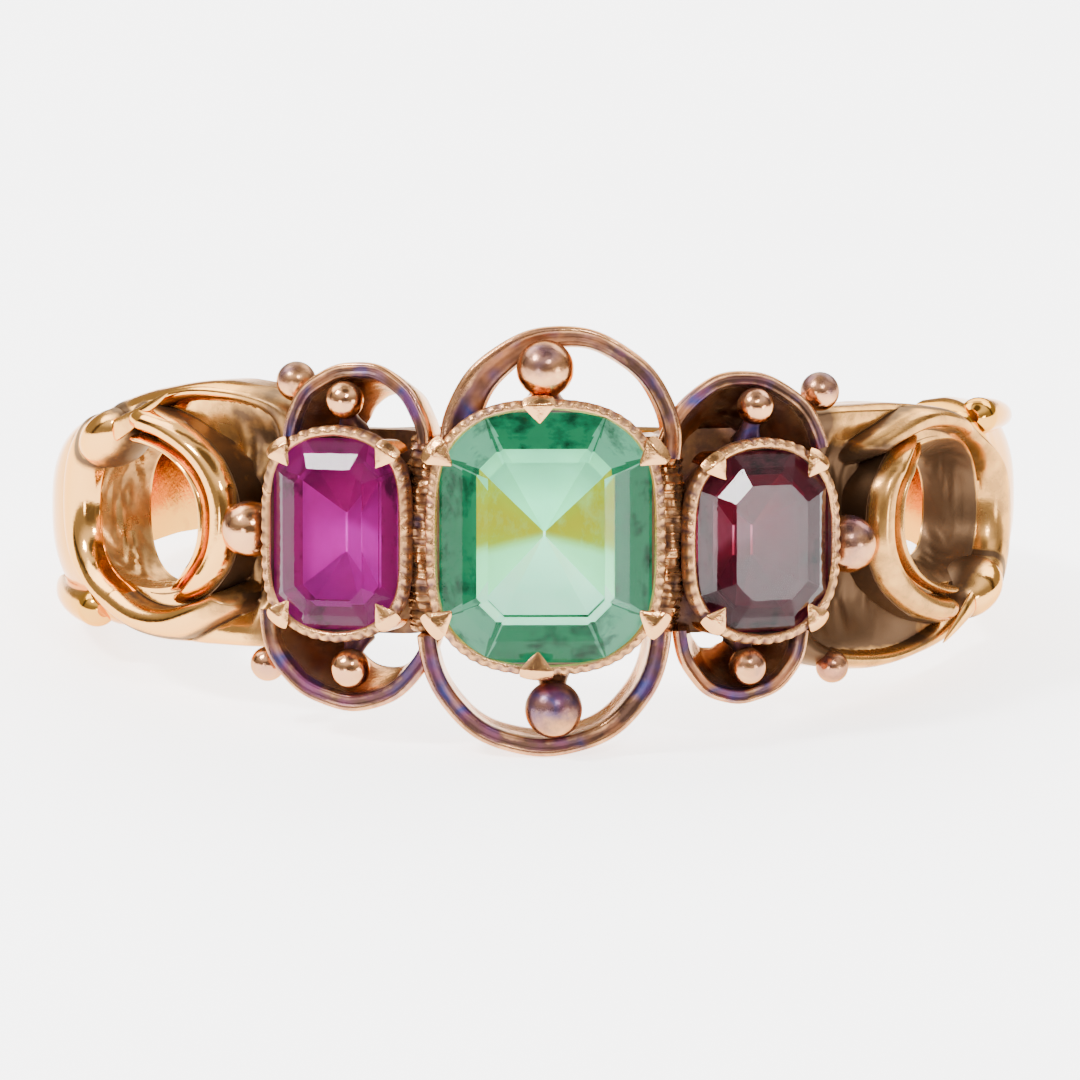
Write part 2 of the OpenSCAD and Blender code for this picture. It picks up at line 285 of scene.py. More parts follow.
def metal(name, clean, dirty, grain, bloom=0.0, rough=(0.1, 0.42), spread=0.9, dull=0.72):
    """Clean metal turns dark by a mask of 1.6 x tarnish_and_shade - 0.6 x patches, whose dark side is dirt
    and painted shade. Grain is the strength of its bumps, rough is how rough the clean and the dirty metal
    are, and dull is how metallic the dirt looks."""
    made, tree, surface, place = new_finish(name)
    tarnish_and_shade = add(tree, "ShaderNodeAttribute", attribute_name="tarnish_and_shade").outputs["Fac"]
    patches = maths(tree, "SUBTRACT", 0.64, noise(tree, place, 2.2))
    patches = times(tree, patches, 2.2 * spread)
    strong = maths(tree, "MULTIPLY", tarnish_and_shade, 1.6, clamp=False)
    mask = maths(tree, "SUBTRACT", strong, times(tree, patches, 0.6))
    colour = blend(tree, mask, clean, dirty)
    if bloom:
        colour = with_blooms(tree, place, tarnish_and_shade, colour, bloom)
    tree.links.new(colour, surface.inputs["Base Color"])
    dial(surface, specular_tint=EDGE_TINT)
    for socket, first, last in (("Roughness", *rough), ("Metallic", 1.0, dull)):
        between = add(tree, "ShaderNodeMapRange", to_min=first, to_max=last)
        tree.links.new(mask, between.inputs["Value"])
        tree.links.new(between.outputs[0], surface.inputs[socket])
    bump(tree, surface, noise(tree, place, 7.0, 6.0, 0.6), grain, 0.00003)
    return made


BROWN = (0.08, 0.042, 0.021)
polished = metal("polished_gold", (0.80, 0.395, 0.105), BROWN, 0.12)
# The band's deep_gold is a darker copy of the same rose gold: painted shade that keeps the band from washing
# out in its reflection of the bright table.
deep = metal("deep_gold", (0.66, 0.315, 0.055), BROWN, 0.1)
worked = metal("worked_gold", (0.74, 0.37, 0.14), (0.12, 0.062, 0.038), 0.5,
               bloom=0.5, rough=(0.14, 0.5), dull=0.6)
scorched = metal("scorched_gold", (0.66, 0.32, 0.14), (0.045, 0.02, 0.014), 0.3,
                 bloom=1.0, rough=(0.12, 0.36), spread=1.3, dull=0.65)
print("metals:", [m.name for m in (polished, deep, worked, scorched)])

# %% [markdown]
# ## The pierced shoulders
# Each shoulder is an openwork scroll: a half ring curls round an oval opening on the side of the head, and a
# strap sweeps up round the other side and ends in a small knob. It could be cut out of a block with
# Booleans, but the edges would come out hard. Here it is one sheet instead, spun round the opening like the
# skin of a doughnut. A direction and a distance from the opening's edge name every point on it.

# %% Shoulder outlines
OPENING_H = 1.48
KNOB_LONG, KNOB_HIGH, KNOB_TURN = 1.0, 0.56, 22
HALF_RING_W, HALF_RING_LEVEL = 0.98, 1.85
STRAP_W, STRAP_LEVEL = 0.85, 1.62
# Closing is how far the wall draws in behind, age the least tarnish, grime the dirt near the head, and
# dirty_from the angle where that dirt starts.
LEFT_OPENING = dict(middle=np.array([-56, 0.1]), half_l=2.2, closing=0.08, age=0.0,
                    grime=0.68, dirty_from=-50, knob=(-62.8, 1.62))
RIGHT_OPENING = dict(middle=np.array([-58, -0.13]), half_l=2.05, closing=0.6, age=0.36,
                     grime=0.95, dirty_from=-61, knob=(-65.2, 1.5))
# Columns: angle and height, with a row for each 22.5 degrees of direction from the head's side.
SHOULDER_EDGE = [
    [-30, 0.1], [-30, 1.2], [-31, 2.5], [-42, 2.92], [-53, 2.74], [-62, 2.42], [-70, 2.05], [-76, 1.3],
    [-77.5, 0.3], [-74.5, -0.65], [-68, -1.45], [-61, -2.02], [-54, -2.32], [-45, -2.42], [-31, -2.25],
    [-30, -1.2],
]


def closed_curve(rows, t):
    """A smooth closed curve through the rows (Catmull-Rom), at row numbers t."""
    rows = np.asarray(rows, float)
    i = np.floor(t).astype(int)
    f = (t - i)[:, None]
    p, q, r, s = (rows[(i + k) % len(rows)] for k in (-1, 0, 1, 2))
    return 0.5 * (2 * q + (r - p) * f + (2 * p - 5 * q + 4 * r - s) * f**2 + (3 * q - p - 3 * r + s) * f**3)


def cos_sin(degrees):
    """The cosine and the sine of an angle in degrees."""
    return np.cos(np.radians(degrees)), np.sin(np.radians(degrees))


def opening_reach(way, half_l):
    """Distance to the opening's edge: an oval with |x/a|^2.3 + |y/b|^2.3 = 1."""
    c, s = cos_sin(way)
    return (np.abs(c / half_l) ** 2.3 + np.abs(s / OPENING_H) ** 2.3) ** (-1 / 2.3)


def half_ring_width(way):
    """The width times smooth steps: none below the opening, full on the head side, blunt at the upper end."""
    d = np.where(way > 180, way - 360, way)
    swell = 1 + 0.15 * step(-10, 40, d) - 0.28 * step(50, 100, d)
    return 0.03 + HALF_RING_W * step(-125, -15, d) * swell * round_top(step(84, 106, d))


def strap_width(way):
    """The width times smooth steps: from the head's lower rail round to a blunt end under the knob."""
    swell = 1 + 0.5 * round_top((way - 185) / 60)
    return 0.03 + STRAP_W * swell * round_top(step(124, 106, way)) * step(345, 318, way) * (way >= 60)


print("a half ring is", HALF_RING_W, "mm wide and the openings", 2 * OPENING_H, "mm high")

# %% [markdown]
# Next comes how high the shoulder stands at each point. It is the highest of four forms: the half ring with
# its two ridges, the strap, the rail along the upper edge, and the ground between them, which sinks into a
# chased panel beside the head.

# %% Shoulder levels
GROUND_LEVEL, RAIL_W = 1.1, 0.66


def half_ring_level(across, way):
    """Two ridges on a floor, as shares of the rise: round tops at 0.65 and 0.13 of the way across."""
    floor = 0.5 - 0.35 * step(55, 90, np.where(way > 180, 0, way))
    crest = np.maximum(round_top((across - 0.65) / 0.36, 2.2), 0.8 * round_top((across - 0.13) / 0.13, 2.2))
    return GROUND_LEVEL + (HALF_RING_LEVEL - GROUND_LEVEL) * np.maximum(crest, floor)


def ground_level(angle, z):
    """The ground, less 0.42 mm in the panel, where three sines make a worn relief."""
    panel = step(-49, -36, angle) * step(2.45, 1.45, z) * step(-2.15, -1.15, z)
    chased = 0.5 * np.sin(1.3 * angle + 2.9 * z) + 0.3 * np.sin(4.1 * z - 2.3 * angle)
    chased = chased + 0.2 * np.sin(3.7 * angle - 3 * z)
    return GROUND_LEVEL - (0.42 + 0.1 * chased) * panel


def shoulder_level(way, far, left_over, angle, z):
    """The highest of the ground, the half ring, the strap and the upper rail, less the edge's rounding."""
    w1, w2 = half_ring_width(way), strap_width(way)
    k1, k2 = np.minimum(1, w1 / HALF_RING_W), np.minimum(1, w2 / STRAP_W)
    ring = k1 * half_ring_level(far / w1, way) * (far <= w1)
    on_strap = (far >= w1) * (far <= w1 + w2)
    strap = k2 * (1 + (STRAP_LEVEL - 1) * round_top(2 * (far - w1) / w2 - 1, 2.5)) * on_strap
    rail = 1.05 + 0.3 * round_top(2 * left_over / RAIL_W - 1) * step(28, 44, way) * step(128, 112, way)
    edge = 0.35 * (1 - round_top(1 - np.minimum(1, left_over / 0.35)))
    return np.maximum.reduce([ground_level(angle, z), ring, strap, rail * (left_over < RAIL_W)]) - edge


print("the half ring stands", round(HALF_RING_LEVEL - GROUND_LEVEL, 2), "mm above the ground")

# %% [markdown]
# The dirt on a shoulder sits where a thumb can't rub: in the grooves, along the seams and in the panel. Round
# the foot of the knob and along the strap's outer edge a dark line is painted shadow. Each is a line or a
# patch that fades with distance, and the darkest of them wins.

# %% Shoulder tarnish and painted shadow
def line(distance, width):
    """A soft line: exp(-(d / w)^2)."""
    return np.exp(-(distance / width) ** 2)


def shoulder_tarnish_and_shade(opening, far, angle, z, w1, w2, strap_end):
    """The largest of the lines, the dirt near the head and the piece's age. The lines along the strap's edge
    and round the knob's foot are painted shadow.
    """
    age = np.full(far.shape, opening["age"])
    groove = 0.8 * line(far / w1 - 0.29, 0.05) * (w1 > 0.3)
    seam = 0.9 * line(far - w1, 0.06) * (w1 > 0.1)
    # Painted shadow: a dark line along the strap's outer edge, where it drops to the ground.
    strap_edge_shadow = 0.9 * line(far - strap_end, 0.07) * (w2 > 0.3)
    # Painted shadow: a dark ring round the knob's foot, where it meets the sheet.
    x, y = (angle - opening["knob"][0]) * ARC, z - opening["knob"][1]
    c, s = cos_sin(KNOB_TURN)
    from_knob = np.hypot((c * x + s * y) / KNOB_LONG, (c * y - s * x) / KNOB_HIGH)
    knob_foot_shadow = 0.9 * line(from_knob - 1.05, 0.16)
    near_head = step(opening["dirty_from"], opening["dirty_from"] + 12, angle)
    recess = near_head * step(2.75, 2.3, z) * step(-2.2, -1.3, z)
    dirt = opening["grime"] * np.maximum(recess, step(-42, -34, angle)) * (far > w1 + 0.02)
    return np.maximum.reduce([dirt, groove, seam, strap_edge_shadow, knob_foot_shadow, age])


print("a groove's line at 0, 1 and 2 widths:", [round(float(line(d, 1)), 2) for d in (0, 1, 2)])

# %% [markdown]
# Now the sheet itself. It has a row for each direction. Along a row it runs over the top from the opening to
# the outer edge, down the outside, back along the finger's side and up the wall of the opening, and so
# closes on itself. Points crowd where the section changes fast, on the half ring and the strap.

# %% Shoulder sheets
def spaced(w1, w2, reach):
    """Distances from the opening's edge: 38 to the half ring's edge, 23 over the strap, 31 to the rim."""
    ring_end = np.maximum(w1, 0.2 * reach)
    strap_end = np.minimum(0.9 * reach, np.maximum(w1 + w2, ring_end + 0.2 * reach))
    to_ring, to_strap, to_rim = np.linspace(0, 1, 38), np.linspace(0, 1, 24)[1:], np.linspace(0, 1, 32)[1:]
    far = [to_ring * ring_end, ring_end + to_strap * (strap_end - ring_end),
           strap_end + to_rim * (reach - strap_end)]
    return np.concatenate(far, axis=1), strap_end


def opening_wall(opening, way, foot, lip, spoke, top):
    """The wall from foot to lip, eased by u^1.6, with three bent sines for its 0.03 mm dents."""
    up = np.linspace(0, 1, 20)[1:-1]
    place = foot[:, None] + (lip - foot)[:, None] * up[:, None]**1.6
    turn = np.radians(way)
    bent = turn + 0.35 * np.sin(5 * up + 2 * turn)
    dented = np.sin(8 * bent + 7 * up) + 0.6 * np.sin(17 * bent - 9 * up + 2 * np.sin(5 * turn))
    dented = 0.03 * (1 - opening["closing"]) * (dented + 0.5 * np.sin(27 * bent + 19 * up))
    place = place + (dented * np.sin(np.pi * up))[..., None] * spoke[:, None]
    return at(place[..., 0], place[..., 1], top * up)


def shoulder(opening, turns=420):
    """One closed sheet round an opening, with its tarnish and painted shadow: top, outside, finger's side and
    wall.
    """
    way = np.arange(turns)[:, None] * 360 / turns
    c, s = cos_sin(way)
    spoke = np.concatenate([c / ARC, s], axis=1)
    lip = opening["middle"] + opening_reach(way, opening["half_l"]) * spoke
    rim = closed_curve(SHOULDER_EDGE, way[:, 0] / 22.5)
    reach = np.linalg.norm((rim - lip) * [ARC, 1], axis=1, keepdims=True)
    w1, w2 = half_ring_width(way), strap_width(way)
    far, strap_end = spaced(w1, w2, reach)
    place = lip[:, None] + (rim - lip)[:, None] * (far / reach)[..., None]
    angle, z = place[..., 0], place[..., 1]
    level = shoulder_level(way, far, reach - far, angle, z)
    outside = at(rim[:, :1], rim[:, 1:], level[:, -1:] * np.linspace(1, 0, 8)[1:])
    foot = lip - opening["closing"] * (1 + 0.5 * c) * spoke
    back = foot[:, None] + (rim - foot)[:, None] * np.linspace(1, 0, 18)[1:, None]
    finger_side = at(back[..., 0], back[..., 1], 0.0)
    wall = opening_wall(opening, way, foot, lip, spoke, level[:, :1])
    parts = [at(angle, z, level), outside, finger_side, wall]
    top_shade = shoulder_tarnish_and_shade(opening, far, angle, z, w1, w2, strap_end)
    shades = [top_shade, 0.3, 0.16, 0.5 + 1.2 * opening["age"]]
    shades = [np.broadcast_to(shade, part.shape[:2]) for shade, part in zip(shades, parts)]
    return np.concatenate(parts, axis=1), np.concatenate(shades, axis=1)


print("a shoulder's rows and columns:", shoulder(LEFT_OPENING)[0].shape[:2])

# %% [markdown]
# ## Knobs and leaves
# The strap ends in a blunt knob, and a pointed leaf lies beside it. Both are soldered on. An egg and a
# tapering tube are enough, sunk a little into the sheet. The right shoulder is the left one turned half way
# round, as a card is dealt upside down, so the same grids serve for both.

# %% Knobs and leaves
# Half a turn round the line of sight: (x, y, z) to (-x, y, -z).
HALF_TURN = np.array([-1, 1, -1])


def along_round(rows, cols, first=0.0, last=1.0):
    """Places along a bar, as a column from first to last, and angles once round it, as a row."""
    return np.linspace(first, last, rows)[:, None], np.linspace(0, 2 * np.pi, cols, endpoint=False)


def unit_ball():
    """A ball of radius 1, (cos u cos v, cos u sin v, sin u), without its two poles."""
    u, v = along_round(42, 48, -np.pi / 2, np.pi / 2)
    u = u[1:-1]
    return np.stack([np.cos(u) * np.cos(v), np.cos(u) * np.sin(v), np.sin(u) + 0 * v], axis=-1)


def knob(angle, z, long, deep):
    """A ball stretched along three axes, turned in the ring's surface, with painted shade near its foot."""
    unit = unit_ball()
    x, y, d = np.moveaxis(unit * [long, KNOB_HIGH, deep], -1, 0)
    c, s = cos_sin(KNOB_TURN)
    # The second grid is painted shade: darker towards the egg's foot, where it meets the sheet.
    return at(angle + (c * x - s * y) / ARC, z + s * x + c * y, 1.15 + d), 0.8 * step(0.8, 0.3, unit[..., 2])


def leaf(start, end):
    """A pointed leaf along a bowed line: half width 0.3 (1 - s)^0.7 (0.35 + s)^0.25, half as thick."""
    s, v = along_round(40, 28, 0.02, 0.995)
    wide = 0.3 * (1 - s) ** 0.7 * (0.35 + s) ** 0.25
    angle, z, level = (a + (b - a) * s for a, b in zip(start, end))
    bow = np.sin(np.pi * s)
    return at(angle - 0.3 * wide * np.cos(v) / ARC, z - 0.14 * bow + wide * np.cos(v),
              level + 0.1 * bow + 0.45 * wide * np.sin(v))


# Columns: name, opening, turn, the knob's length as a share, its half depth, the leaf's two ends.
SHOULDERS = [
    ["left_shoulder", LEFT_OPENING, 1, 1.0, 0.72, [-61.8, 1.7, 1.45], [-48.6, 2.66, 1.52]],
    ["right_shoulder", RIGHT_OPENING, HALF_TURN, 0.95, 0.7, [-64.4, 1.58, 1.42], [-54.5, 2.5, 1.5]],
]
for name, opening, turn, share, half_deep, leaf_start, leaf_end in SHOULDERS:
    sheet, shades = shoulder(opening)
    # Each knob comes with painted shade near its foot.
    egg, egg_painted_shade = knob(*opening["knob"], share * KNOB_LONG, half_deep)
    skins = [shell(sheet * turn, True, shades), shell(egg * turn, tarnish_and_shade=egg_painted_shade),
             shell(leaf(leaf_start, leaf_end) * turn, tarnish_and_shade=0.2)]
    piece(name, skins, [polished])

# %% [markdown]
# ## The band
# A band is a strip bent round the finger: carry one section along a circle and let it grow or shrink on the
# way. The rows of the table are its edges and its thickness at some angles, and the grid reads between them.

# %% Band
# Columns: angle, lower edge, upper edge, level of the crown.
BAND_SECTIONS = np.array([
    [-62, -1.95, -1.75, 0.9], [-65, -2.24, -1.45, 1.17], [-68.5, -2.33, -0.85, 1.27],
    [-72, -2.32, 0.9, 1.32], [-77, -2.25, 1.75, 1.38], [-85, -2.15, 1.85, 1.46], [-92, -1.95, 1.75, 1.5],
    [-100, -1.5, 1.45, 1.46], [-109, -1.18, 1.18, 1.38], [-120, -1.04, 1.04, 1.28],
    [-140, -0.96, 0.96, 1.2], [-160, -0.96, 0.96, 1.2], [-180, -0.96, 0.96, 1.2],
])


def band():
    """A superellipse section, (1 - |t|^2.6)^(1/2) high, carried round the finger."""
    mirrored = BAND_SECTIONS[-2::-1] * [-1, -1, -1, 1] + [-360, 0, 0, 0]
    mirrored[:, [1, 2]] = mirrored[:, [2, 1]]
    table = np.concatenate([BAND_SECTIONS, mirrored])
    angle = np.linspace(table[0, 0], table[-1, 0], 460)
    low, high, top = (np.interp(-angle, -table[:, 0], table[:, k]) for k in (1, 2, 3))
    soft = np.hanning(9) / np.hanning(9).sum()
    low, high, top = (np.convolve(np.pad(v, 4, "edge"), soft, "valid")[:, None] for v in (low, high, top))
    angle, mid, half = angle[:, None], (low + high) / 2, (high - low) / 2
    t = np.sin(np.linspace(-np.pi / 2, np.pi / 2, 44))
    outer = at(angle, mid + half * t, 0.35 + (top - 0.35) * np.sqrt(1 - np.abs(t) ** 2.6))
    inner = at(angle, mid + half * np.linspace(0.94, -0.94, 14), 0.012)
    return np.concatenate([outer, inner], axis=1)


def roll():
    """The rolled edge where the band leaves the shoulder: a tube that thins from 0.42 to 0.17."""
    s, v = along_round(60, 28)
    thick = 0.42 * round_top((s - 0.12) / 0.13 * (s < 0.12)) * (1 - 0.6 * s)
    thick = np.maximum(thick, 0.02)
    return at(-67.2 - 24 * s, -1.95 + 0.25 * s**2 + thick * np.cos(v), 1.1 + 0.12 * s + thick * np.sin(v))


# The band wears deep_gold, the rose gold with painted shade.
piece("band", [shell(band(), tarnish_and_shade=0.06), shell(roll()), shell(roll() * HALF_TURN)], [deep])

# %% [markdown]
# ## The stones' outlines
# A collet is the wall of gold that holds a stone, so the two share an outline. One formula serves all three
# stones: two pairs of sides and cut corners, blended by a power that sets how square it looks. Growing the
# outline by a margin gives the collet's wall at every height.

# %% Stones' outlines
GIRDLE_DROP, FIT_GAP, RIM_W = 0.12, 0.04, 0.24


def stone_facts(angle, z, wide, high, cut, rim_level):
    """The facts of one stone, by name. Its girdle, the widest part, lies just under the collet's rim."""
    return dict(angle=angle, z=z, wide=wide, high=high, cut=cut, girdle=rim_level - GIRDLE_DROP)


CENTRE = stone_facts(-0.2, 0.05, 4.2, 4.95, 0.88, 2.45)
LEFT = stone_facts(-23.4, 0.04, 2.65, 3.8, 0.62, 2.12)
RIGHT = stone_facts(24.2, -0.13, 2.9, 3.6, 0.74, 2.12)
STONES = [CENTRE, LEFT, RIGHT]


def outline_reach(stone, way, margin, square):
    """Reach of the outline grown by a margin: (side^p + end^p + corner^p)^(-1/p)."""
    c, s = np.abs(cos_sin(way))
    half_w, half_h = stone["wide"] / 2, stone["high"] / 2
    side, end = c / (half_w + margin), s / (half_h + margin)
    corner = (c + s) / (half_w + half_h - stone["cut"] + margin * np.sqrt(2))
    return (side**square + end**square + corner**square) ** (-1 / square)


def on_head(stone, x, z, level):
    """A point beside a stone, across and along the finger, turned to the stone's place on the head."""
    x, z, y = np.broadcast_arrays(x, z, -(FINGER_R + np.asarray(level, float)))
    c, s = cos_sin(stone["angle"])
    return np.stack([c * x - s * y, s * x + c * y, z + stone["z"]], axis=-1)


def on_outline(stone, way, margin, level, square):
    """A point on the stone's outline grown by a margin, at a level."""
    r = outline_reach(stone, way, margin, square)
    c, s = cos_sin(way)
    return on_head(stone, r * c, r * s, level)


print("stones:", [(stone["wide"], stone["high"]) for stone in STONES])

# %% [markdown]
# ## Collets and milgrain
# A goldsmith bends a strip into the stone's outline, solders it shut, and rolls a tiny toothed wheel along
# the rim to press a row of beads, called milgrain. Here one section of the wall is carried round the
# outline, and a sine pushes the rim in and out once a bead. A slow sine lets some beads fade, as wear does.

# %% Collets
def cut_corners(rows, passes=2):
    """Rounds a closed outline: each pass puts points at 1/4 and 3/4 of every side (Chaikin)."""
    rows = np.asarray(rows, float)
    for _ in range(passes):
        after = np.roll(rows, -1, axis=0)
        near, far = 0.75 * rows + 0.25 * after, 0.25 * rows + 0.75 * after
        rows = np.stack([near, far], axis=1).reshape(-1, rows.shape[1])
    return rows


def collet_section(stone, rim):
    """The wall's rounded section. Columns: margin outside the stone's outline, and level."""
    return cut_corners([
        [-0.72, 0.02], [-0.6, 0.75], [-0.08, stone["girdle"] - 0.3], [FIT_GAP, stone["girdle"] - 0.12],
        [FIT_GAP, rim - 0.06], [FIT_GAP + 0.06, rim], [0.13, rim + 0.01], [RIM_W - 0.04, rim],
        [RIM_W + FIT_GAP, rim - 0.08], [RIM_W + 0.03, rim - 0.35], [0.12, 1.6], [-0.2, 0.8], [-0.38, 0.02],
    ])


def bead_wave(stone, beads, way):
    """|sin| of the share of the outline's length, so that all beads are as long as each other."""
    outline = on_outline(stone, way, 0.2, 0, 14)
    steps = np.linalg.norm(np.roll(outline, -1, axis=0) - outline, axis=1)
    share = np.concatenate([[0], np.cumsum(steps)[:-1]]) / steps.sum()
    return np.abs(np.sin(np.pi * beads * share))


def collet(stone, beads, turns=600):
    """The section carried round the outline, with the beads' wave along the rim's outer edge."""
    rim = stone["girdle"] + GIRDLE_DROP
    margin, level = collet_section(stone, rim).T
    inside = margin < 0.06
    way = np.linspace(0, 360, turns, endpoint=False)[:, None]
    bead = bead_wave(stone, beads, way[:, 0])[:, None]
    on_edge = step(0.12, 0.2, margin) * step(rim - 0.3, rim - 0.1, level)
    worn = 0.55 + 0.45 * np.sin(3 * np.radians(way) + stone["angle"]) * np.sin(7 * np.radians(way))
    margin = margin + on_edge * worn * (0.045 * bead - 0.025)
    level = level + on_edge * worn * (0.04 * bead - 0.02)
    tight, loose = on_outline(stone, way, margin, level, 60), on_outline(stone, way, margin, level, 9)
    dark = np.where(inside, 0.9, 0.3 + 0.7 * step(rim - 0.05, rim - 0.5, level)) + 0.4 * on_edge * (1 - bead)
    return shell(np.where(inside[:, None], tight, loose), True, np.clip(dark, 0, 1))


BEADS = (72, 50, 48)
collets = [collet(stone, beads) for stone, beads in zip(STONES, BEADS)]
piece("collets", collets, [worked], sharp=60)

# %% [markdown]
# ## The base and the webs
# Behind the collets a curved plate joins the head together, pierced behind each stone so that light gets in.
# Each window is made like the shoulders, as a sheet round a hole, only with a plain level. Between the
# collets stand two webs, left rough because no tool reaches them.

# %% Base and webs
PLATE_HALF_H, PLATE_TOP, WEB_HALF_H = 2.05, 0.55, 1.95


def window(stone, low, high):
    """A closed sheet between a small window behind a stone and the edges of its share of the plate. The
    plate's share is a superellipse, |x/a|^7 + |y/b|^7 = 1, from the angle low to the angle high."""
    way = np.arange(240)[:, None] * 1.5
    c, s = cos_sin(way)
    inner = outline_reach(stone, way, -0.95, 5)
    to_mm = np.radians(FINGER_R + 0.3)
    side = np.where(c > 0, (high - stone["angle"]) * to_mm, (stone["angle"] - low) * to_mm)
    outer = ((np.abs(c) / side) ** 7 + (np.abs(s) / PLATE_HALF_H) ** 7) ** (-1 / 7)
    share = np.concatenate([np.linspace(0, 1, 12), np.ones(3), np.linspace(1, 0, 12), np.zeros(3)])
    level = np.concatenate([np.full(12, PLATE_TOP), [0.4, 0.25, 0.1], np.full(12, 0.006), [0.1, 0.25, 0.4]])
    r = inner + (outer - inner) * share
    grid = at(stone["angle"] + r * c / to_mm, r * s * 0.995, level + 0 * way)
    return shell(grid, True, np.where(level < 0.05, 0.22, 0.6))


def web(angle, top):
    """An upright web: a flat half round whose crest falls away as z^2, roughened by a few sines."""
    z, v = along_round(200, 90, -WEB_HALF_H, WEB_HALF_H)
    crest = top - 0.75 * (z / WEB_HALF_H) ** 2
    rough = np.sin(9 * z + 3 * v) * np.sin(5.3 * z - 2 * v)
    rough = rough + np.sin(23 * z - 5 * v + angle) * np.sin(17 * z + 4 * v)
    rough = 0.045 * rough + 0.02 * np.sin(41 * z + 7 * v) * np.sin(37 * z - 9 * v)
    x = (0.48 + rough) * np.cos(v) / np.radians(10)
    level = crest / 2 + (crest / 2 + rough) * np.sin(v)
    return shell(at(angle + x, z + 0 * v, level), tarnish_and_shade=0.42 - 4 * rough)


windows = [window(CENTRE, -13, 13), window(LEFT, -36, -13), window(RIGHT, 13, 36)]
piece("pierced_base", windows + [web(-13.7, 2.04), web(13.7, 1.95)], [worked])

# %% [markdown]
# ## The gallery's loops
# The gallery is made of bent ribbons, each a thin section carried along part of a circle. A shallow groove in
# the front edge lets two bright lines run round it. Behind that edge the ribbon draws in like a funnel, and
# that is the dark inside of each loop.

# %% Loops
# Columns: angle of the collet, middle across and up, outer radius, first and last direction, front level,
# rim width at each end, how far the back is drawn in at each end.
LOOPS = [
    [0, 0.28, 1.81, 2.4, -6, 176, 1.95, 0.36, 0.72, 0.12, 0.2],
    [0, -0.05, -1.82, 2.54, 183, 359, 1.95, 0.38, 0.42, 0.12, 0.2],
    [-23.4, 0.31, 1.86, 1.6, 0, 180, 1.75, 0.32, 0.3, 0.3, 1.0],
    [-23.4, 0.16, -1.54, 1.98, 180, 345, 1.75, 0.36, 0.36, 1.0, 0.4],
    [24.2, -0.29, 1.29, 1.97, 12, 170, 1.75, 0.3, 0.32, 1.1, 1.0],
    [24.2, -0.29, -1.88, 1.52, 180, 358, 1.75, 0.3, 0.34, 0.8, 0.9],
]
# Columns: share of the rim's width, depth behind the front, share of the back's draw.
RIBBON = [
    [0, 0.14, 0], [0.06, 0.02, 0], [0.27, 0, 0], [0.5, 0.05, 0], [0.74, 0, 0], [0.94, 0.02, 0],
    [1, 0.14, 0], [0.9, 0.6, 0.35], [0.9, 1.45, 1], [0.1, 1.45, 1], [0, 0.6, 0.3],
]


def loop(row, turns=180):
    """A grooved ribbon: each point of its section keeps its inset from a circle of the loop's radius."""
    angle, x0, z0, radius, start, end, front, rim_a, rim_b, back_a, back_b = row
    in_rim, depth, in_back = cut_corners(RIBBON).T
    share = np.linspace(0, 1, turns)[:, None]
    way = np.radians(start + (end - start) * share)
    rim = rim_a + (rim_b - rim_a) * step(0.35, 1, share)
    back = back_a + (back_b - back_a) * step(0.2, 0.8, share)
    wavy = 0.012 * np.sin(5 * way + angle) + 0.008 * np.sin(11 * way)
    reach = radius + wavy - in_rim * rim - in_back * back
    collet_place = dict(angle=angle, z=0)
    grid = on_head(collet_place, x0 + reach * np.cos(way), z0 + reach * np.sin(way), front - depth)
    groove = line(in_rim - 0.5, 0.2) * (depth < 0.1)
    inner = 0.4 * step(0.55, 0.9, in_rim) * (depth < 0.2)
    dark = np.where(in_rim < 0.05, 0.2, 0.3 + 0.75 * groove + inner)
    return shell(grid, tarnish_and_shade=np.clip(dark, 0, 1))


piece("gallery_loops", [loop(row) for row in LOOPS], [scorched], sharp=50)

# %% [markdown]
# ## Balls on short necks
# Each ball is a scrap of gold melted until it pulls itself round, then soldered to the head on a short neck.
# A sphere is the simplest grid there is, with rows of latitude and columns of longitude. Its neck is a bar
# drawn between two points, thinner in the middle, where the solder has run.

# %% Balls on necks
# Columns: angle, height, radius, level, level and height of the neck's root, tarnish.
BALLS = [
    [-0.2, 3.37, 0.57, 2.0, 1.3, 2.5, 0.25], [0.7, -3.39, 0.57, 2.0, 1.3, -2.45, 0.5],
    [-22.8, 2.69, 0.38, 1.8, 1.4, 2.05, 0.1], [-22.2, -2.65, 0.4, 1.8, 1.4, -2.0, 0.1],
    [23.9, 2.55, 0.37, 1.8, 1.4, 1.8, 0.15], [23, -2.63, 0.38, 1.8, 1.4, -2.05, 0.2],
    [-36, 0.02, 0.57, 1.5, 0.45, 0.02, 0.1], [37.6, -0.31, 0.58, 1.5, 0.45, -0.31, 0.25],
    [-30.3, 3, 0.4, 1.3, 0.55, 2.2, 0.45], [34.3, 2.76, 0.39, 1.3, 0.55, 2.1, 0.35],
    [36.2, -2.78, 0.33, 1.3, 0.55, -2.3, 0.3], [-34.3, -2.68, 0.35, 1.3, 0.55, -2.1, 0.15],
]


def ball(row):
    """A sphere, a little darker towards the top."""
    angle, z, radius, level, _, _, tarnish_and_shade = row
    unit = unit_ball()
    return shell(at(angle, z, level) + radius * unit, tarnish_and_shade=tarnish_and_shade + 0.25 * unit[..., 2])


